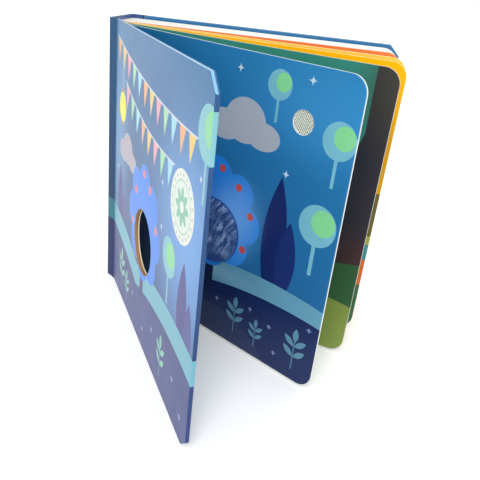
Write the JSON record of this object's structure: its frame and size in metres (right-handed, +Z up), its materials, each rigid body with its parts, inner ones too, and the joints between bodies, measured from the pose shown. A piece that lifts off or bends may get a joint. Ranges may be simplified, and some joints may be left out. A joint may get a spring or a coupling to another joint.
{
  "type": "board book",
  "caption": "Case-bound children's board book standing half open with fanned thick leaves, a round finger hole in the front cover and touch patches on the first leaf.",
  "frame": {"origin": "on the surface that the book stands on, under the middle of its bounding box", "axes": "+Z up the spine, +X from the spine along the back cover, -Y towards the reader"},
  "size_m": [0.1988, 0.2184, 0.19],
  "materials": {
    "cover_wrap": "gloss",
    "spine_wrap": "gloss",
    "pastedown": "satin",
    "pages": "satin",
    "fur": "matte",
    "weave": "matte",
    "sticker": "gloss"
  },
  "bodies": {
    "block": {"page_block": "pages", "spine": "spine_wrap", "fur_patch": "fur", "woven_patch": "weave"},
    "front_board": {"front_cover": "cover_wrap", "front_pastedown": "pastedown", "round_sticker": "sticker"},
    "back_board": {"back_cover": "cover_wrap", "back_pastedown": "pastedown"}
  },
  "joints": [
    {"name": "front_cover_hinge", "type": "hinge", "parent": "block", "child": "front_board", "pos_m": [-0.09279, 0.05922, 0], "axis": [0, 0, -1], "range_deg": [-25, 100]},
    {"name": "back_cover_hinge", "type": "hinge", "parent": "block", "child": "back_board", "pos_m": [-0.08682, 0.10883, 0], "axis": [0, 0, 1], "range_deg": [0, 120]}
  ]
}
